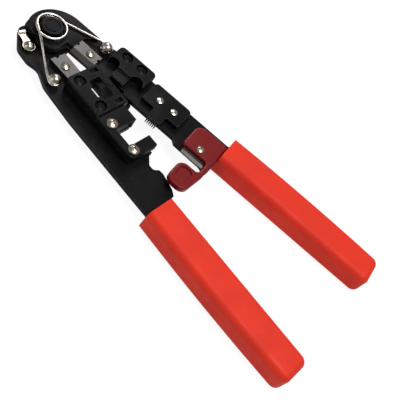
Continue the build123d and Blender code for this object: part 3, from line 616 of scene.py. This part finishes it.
@dataclass
class ContactComb:
    """The row of piercing blades that drives a plug's contacts home."""

    node: str
    teeth: int
    turn: float
    thickness: float = 0.0005
    point: float = 0.0006
    point_share: float = 0.3
    bar: float = 0.0007

    def extents(self) -> tuple[Vector, float, float, float]:
        """Works out the comb's own sizes from its turned box.

        Returns:
            Its centre, its width along the row, its length to the tips and its height.
        """
        low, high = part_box(self.node)
        across, along = high.x - low.x, high.y - low.y
        c, s = math.cos(self.turn), math.sin(abs(self.turn))
        width = (across * c - along * s) / (c * c - s * s)
        length = (along * c - across * s) / (c * c - s * s)
        return (low + high) / 2, width, length, high.z - low.z

    def tooth(self, length: float, height: float) -> bpy.types.Object:
        """One blade with a bevelled point, standing on the comb's bar.

        Args:
            length: Length from the bar to the tip.
            height: Height of the blade.

        Returns:
            A helper object with the blade's mesh.
        """
        half, neck = self.thickness / 2, -(length - self.point)
        tip = half * self.point_share
        outline = [(-half, 0.0), (half, 0.0), (half, neck), (tip, -length), (-tip, -length), (-half, neck)]

        def build(shape: bmesh.types.BMesh) -> None:
            """Extrudes the blade's outline upwards."""
            base = [shape.verts.new((x, y, -height / 2)) for x, y in outline]
            top = [shape.verts.new((x, y, height / 2)) for x, y in outline]
            shape.faces.new(base[::-1])
            shape.faces.new(top)
            for index in range(len(outline)):
                follow = (index + 1) % len(outline)
                shape.faces.new((base[index], base[follow], top[follow], top[index]))
        return solid(self.node + "_tooth", build)

    def build(self) -> bpy.types.Object:
        """Sets the blades on their bar.

        Returns:
            The comb as one mesh.
        """
        centre, width, length, height = self.extents()
        tree = Tree("contact_comb", {
            "Count": ("NodeSocketInt", self.teeth), "Pitch": ("NodeSocketFloat", 0.001),
            "Bar": ("NodeSocketVector", (width, self.bar, height)),
            "Tooth": ("NodeSocketObject", None), "Material": ("NodeSocketMaterial", None),
        })
        given = tree.entry.outputs
        pitch = tree.node("ShaderNodeCombineXYZ", None, {"X": given["Pitch"]})
        span = tree.node("ShaderNodeMath", {"operation": "MULTIPLY_ADD"},
                         {0: given["Count"], 1: -0.5, 2: 0.5})
        start = tree.node("ShaderNodeVectorMath", {"operation": "SCALE"},
                          {0: pitch.outputs[0], "Scale": span.outputs[0]})
        row = tree.node("GeometryNodeMeshLine", {"mode": "OFFSET"}, {
            "Count": given["Count"], "Start Location": start.outputs[0], "Offset": pitch.outputs[0]})
        blade = tree.node("GeometryNodeObjectInfo", None, {"Object": given["Tooth"], "As Instance": True})
        blades = tree.node("GeometryNodeInstanceOnPoints", None,
                           {"Points": row.outputs[0], "Instance": blade.outputs["Geometry"]})
        bar = tree.node("GeometryNodeMeshCube", None, {"Size": given["Bar"]})
        seat = tree.node("GeometryNodeTransform", None,
                         {"Geometry": bar.outputs[0], "Translation": (0.0, self.bar / 2, 0.0)})
        both = tree.node("GeometryNodeJoinGeometry")
        tree.tree.links.new(blades.outputs[0], both.inputs[0])
        tree.tree.links.new(seat.outputs[0], both.inputs[0])
        tree.close(both.outputs[0])
        tooth = self.tooth(length - self.bar, height)
        piece = tree.apply(self.node + "_blades", {
            "Count": self.teeth, "Pitch": (width - self.thickness) / (self.teeth - 1), "Tooth": tooth})
        bpy.data.objects.remove(tooth)
        root = Matrix.Translation(centre) @ Matrix.Rotation(self.turn, 4, "Z")
        piece.data.transform(root @ Matrix.Translation((0.0, length / 2 - self.bar, 0.0)))
        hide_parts(self.node)
        return piece


@dataclass
class ScrewThreads:
    """The threaded ends of a pair of screws, where they stand out under the arm."""

    node: str
    arm: str
    head_radius: float = 0.0028
    shank_radius: float = 0.0015
    ridge: float = 0.00016
    pitch: float = 0.00035

    def centres(self) -> list[Vector]:
        """The two screws' tips, from the box of their node."""
        low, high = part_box(self.node)
        r = self.head_radius
        return [Vector((low.x + r, high.y - r, low.z)), Vector((high.x - r, low.y + r, low.z))]

    def build(self) -> bpy.types.Object:
        """Winds the threads.

        Returns:
            Both threads as one mesh.
        """
        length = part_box(self.arm)[0].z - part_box(self.node)[0].z
        tree = Tree("screw_thread", {
            "Radius": ("NodeSocketFloat", self.shank_radius), "Height": ("NodeSocketFloat", length),
            "Turns": ("NodeSocketFloat", 3.0), "Ridge": ("NodeSocketFloat", self.ridge),
            "Material": ("NodeSocketMaterial", None),
        })
        given = tree.entry.outputs
        coil = tree.node("GeometryNodeCurveSpiral", None, {
            "Resolution": 40, "Rotations": given["Turns"], "Start Radius": given["Radius"],
            "End Radius": given["Radius"], "Height": given["Height"]})
        ridge = tree.node("GeometryNodeCurvePrimitiveCircle", {"mode": "RADIUS"},
                          {"Resolution": 4, "Radius": given["Ridge"]})
        thread = tree.node("GeometryNodeCurveToMesh", None, {
            "Curve": coil.outputs[0], "Profile Curve": ridge.outputs[0], "Fill Caps": True})
        tree.close(thread.outputs[0])
        free = length - 2 * self.ridge
        first = tree.apply(self.node + "_threads", {
            "Radius": self.shank_radius, "Height": free, "Turns": free / self.pitch, "Ridge": self.ridge})
        base = first.data.copy()
        shape = bmesh.new()
        for centre in self.centres():
            copy = base.copy()
            copy.transform(Matrix.Translation(centre + Vector((0.0, 0.0, self.ridge))))
            shape.from_mesh(copy)
            bpy.data.meshes.remove(copy)
        bmesh.ops.recalc_face_normals(shape, faces=shape.faces)
        shape.to_mesh(first.data)
        shape.free()
        return first


@dataclass
class PivotNut:
    """Hexagon nut whose corners are turned off at both ends."""

    node: str = "pivot_nut"
    hole_radius: float = 0.00405
    chamfer: float = 0.0007
    steps: int = 96

    def build(self) -> bpy.types.Object:
        """Makes the nut in the space of its CAD node.

        Returns:
            The nut.
        """
        low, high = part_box(self.node)
        flat = (high.y - low.y) / 2
        corner = (high.x - low.x) / 2
        rise = self.chamfer * 0.5
        levels = [(low.z, 1.0), (low.z + rise, 0.0), (high.z - rise, 0.0), (high.z, 1.0)]

        def radius(angle: float, share: float) -> float:
            """Radius of the nut's side at an angle, cut back near its ends."""
            folded = (angle + math.pi / 6) % (math.pi / 3) - math.pi / 6
            side = flat / math.cos(math.pi / 6 - abs(folded))
            return min(side, corner - self.chamfer * share)

        def spot(angle: float, reach: float, z: float) -> Vector:
            """A point about the nut's axis."""
            return Vector((reach * math.cos(angle), reach * math.sin(angle), z))

        def build(shape: bmesh.types.BMesh) -> None:
            """Joins the rings of the nut and of its bore."""
            rings = []
            angles = [2 * math.pi * index / self.steps for index in range(self.steps)]
            for z, share in levels:
                rings.append([shape.verts.new(spot(a, radius(a, share), z)) for a in angles])
            for z in (high.z, low.z):
                rings.append([shape.verts.new(spot(a, self.hole_radius, z)) for a in angles])
            for index, ring in enumerate(rings):
                other = rings[(index + 1) % len(rings)]
                for step in range(self.steps):
                    follow = (step + 1) % self.steps
                    shape.faces.new((ring[step], ring[follow], other[follow], other[step]))
        piece = solid(self.node + "_turned", build)
        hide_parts(self.node)
        return piece


@dataclass
class Frame:
    """The CAD nodes of the tool, dressed in their finishes."""

    frame: dict[str, Any]
    paints: dict[Slot, bpy.types.Material]

    def dress(self) -> None:
        """Gives each CAD node the finish of its slot."""
        for entry in self.frame["record"]["subparts"]:
            node = self.frame["nodes"][entry["node"]]
            paint = self.paints[Slot(entry["material_slot"])]
            if not node.data.materials:
                node.data.materials.append(paint)
            for index in range(len(node.data.materials)):
                node.data.materials[index] = paint
            LOG.info("dressed %s in %s", node.name, paint.name)


# ---------------------------------------------------------------- studio
@dataclass(frozen=True)
class SoftBox:
    """One square lamp over the bench."""

    name: str
    spot: Colour
    size: float
    power: float
    tint: Colour = (1.0, 1.0, 1.0)

    def hang(self, target: Colour) -> None:
        """Makes the lamp and turns it to its target.

        Args:
            target: What it faces.
        """
        data = bpy.data.lights.new(self.name, "AREA")
        data.shape = "SQUARE"
        data.size = self.size
        data.energy = self.power
        data.color = self.tint
        lamp = bpy.data.objects.new(self.name, data)
        lamp.location = self.spot
        aim = Vector(target) - Vector(self.spot)
        lamp.rotation_euler = aim.to_track_quat("-Z", "Y").to_euler()
        bpy.context.scene.collection.objects.link(lamp)


LAMPS = (
    SoftBox("key_box", (0.30, 0.05, 0.80), 0.42, 5.9, (1.0, 0.985, 0.96)),
    SoftBox("far_box", (-0.30, 0.50, 0.55), 0.35, 2.7),
    SoftBox("low_box", (-0.30, -0.55, 0.35), 0.45, 0.8),
)


@dataclass
class Studio:
    """Pale floor, soft lamps and the camera."""

    middle: Colour = (0.09, 0.0, 0.0)
    floor_size: float = 6.0
    floor_drop: float = 0.0002
    floor_grey: float = 0.86
    white: float = 1.05
    shadow_share: float = 0.12
    world_strength: float = 0.27
    sensor: float = 36.0
    lens: float = 66.8
    nearest: float = 0.01
    eye: Colour = (0.1264, -0.2219, 0.2787)
    look: Colour = (-0.053, 0.623, -0.781)
    upward: Colour = (-0.711, 0.525, 0.468)

    def seen(self, sheet: Sheet) -> Wire:
        """One for the rays that see the surface and zero for those that light the object."""
        path = sheet.node("ShaderNodeLightPath")
        rays = [Wire(sheet, path.outputs[name]) for name in
                ("Is Camera Ray", "Is Glossy Ray", "Is Transmission Ray")]
        return (rays[0] + rays[1] + rays[2]).held()

    def floor(self, level: float) -> None:
        """Lays a white floor that still takes a faint shadow.

        Args:
            level: Height of the surface that the tool rests on.
        """
        half = self.floor_size / 2

        def build(shape: bmesh.types.BMesh) -> None:
            """One square."""
            z = level - self.floor_drop
            corners = [(-half, -half), (half, -half), (half, half), (-half, half)]
            shape.faces.new([shape.verts.new((x, y, z)) for x, y in corners])
        plane = solid("studio_floor", build)
        sheet = Sheet("white_floor")
        grey = (self.floor_grey, self.floor_grey, self.floor_grey, 1.0)
        matte = sheet.out("ShaderNodeBsdfDiffuse", None, {"Color": grey})
        glow = sheet.out("ShaderNodeEmission", None, {"Color": (1.0, 1.0, 1.0, 1.0), "Strength": self.white})
        share = self.seen(sheet) * (1.0 - self.shadow_share)
        mixed = sheet.out("ShaderNodeMixShader", None, {0: share, 1: matte, 2: glow})
        sheet.node("ShaderNodeOutputMaterial", None, {"Surface": mixed})
        plane.data.materials.append(sheet.material)
        plane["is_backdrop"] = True

    def world(self) -> None:
        """Even white surroundings, seen as white and lighting gently."""
        world = bpy.data.worlds.new("studio_world")
        bpy.context.scene.world = world
        world.use_nodes = True
        nodes, links = world.node_tree.nodes, world.node_tree.links
        nodes.clear()
        path = nodes.new("ShaderNodeLightPath")
        strength = nodes.new("ShaderNodeMix")
        strength.inputs[2].default_value = self.world_strength
        strength.inputs[3].default_value = self.white
        links.new(path.outputs["Is Camera Ray"], strength.inputs[0])
        glow = nodes.new("ShaderNodeBackground")
        glow.inputs["Color"].default_value = (1.0, 1.0, 1.0, 1.0)
        links.new(strength.outputs[0], glow.inputs["Strength"])
        final = nodes.new("ShaderNodeOutputWorld")
        links.new(glow.outputs[0], final.inputs["Surface"])

    def camera(self) -> None:
        """Sets the camera above the handles' side, rolled so that the tool lies across the picture."""
        forward = Vector(self.look).normalized()
        right = forward.cross(Vector(self.upward)).normalized()
        up = right.cross(forward).normalized()
        turned = Matrix((right, up, -forward)).transposed().to_4x4()
        data = bpy.data.cameras.new("camera")
        data.sensor_width = self.sensor
        data.lens = self.lens
        data.clip_start = self.nearest
        camera = bpy.data.objects.new("camera", data)
        camera.matrix_world = Matrix.Translation(Vector(self.eye)) @ turned
        bpy.context.scene.collection.objects.link(camera)
        bpy.context.scene.camera = camera

    def build(self, level: float) -> None:
        """Sets up the whole studio.

        Args:
            level: Height of the surface that the tool rests on.
        """
        self.camera()
        self.world()
        self.floor(level)
        for lamp in LAMPS:
            lamp.hang(self.middle)
        bpy.context.scene.view_settings.view_transform = "Standard"


def corners(bounds: Any) -> list[list[float]]:
    """A box as plain lists of numbers."""
    return [[float(value) for value in corner] for corner in bounds]


def main() -> None:
    """Builds the scene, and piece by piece."""
    logging.basicConfig(level=logging.INFO, format="%(message)s")
    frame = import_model()
    cad_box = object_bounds()
    Studio().build(cad_box[0][2])
    paints = {slot: finish.make() for slot, finish in FINISHES.items()}
    Frame(frame, paints).dress()
    opening = next(joint for joint in frame["joints"] if joint["name"] == "handle_pivot")
    half_open = math.radians(max(opening["range_deg"])) / 2
    for node, teeth in COMBS:
        comb = ContactComb(node, teeth, half_open).build()
        dress(comb, Body.RIGHT_ARM, paints[Slot.BLACK_STEEL])
        LOG.info("built %s", comb.name)
    for node, slot in THREADED:
        threads = ScrewThreads(node, "left_arm_plate").build()
        dress(threads, Body.LEFT_ARM, paints[slot])
        LOG.info("built %s", threads.name)
    nut = PivotNut().build()
    dress(nut, Body.LEFT_ARM, paints[Slot.NICKEL])
    LOG.info("built %s", nut.name)


if __name__ == "__main__":
    main()
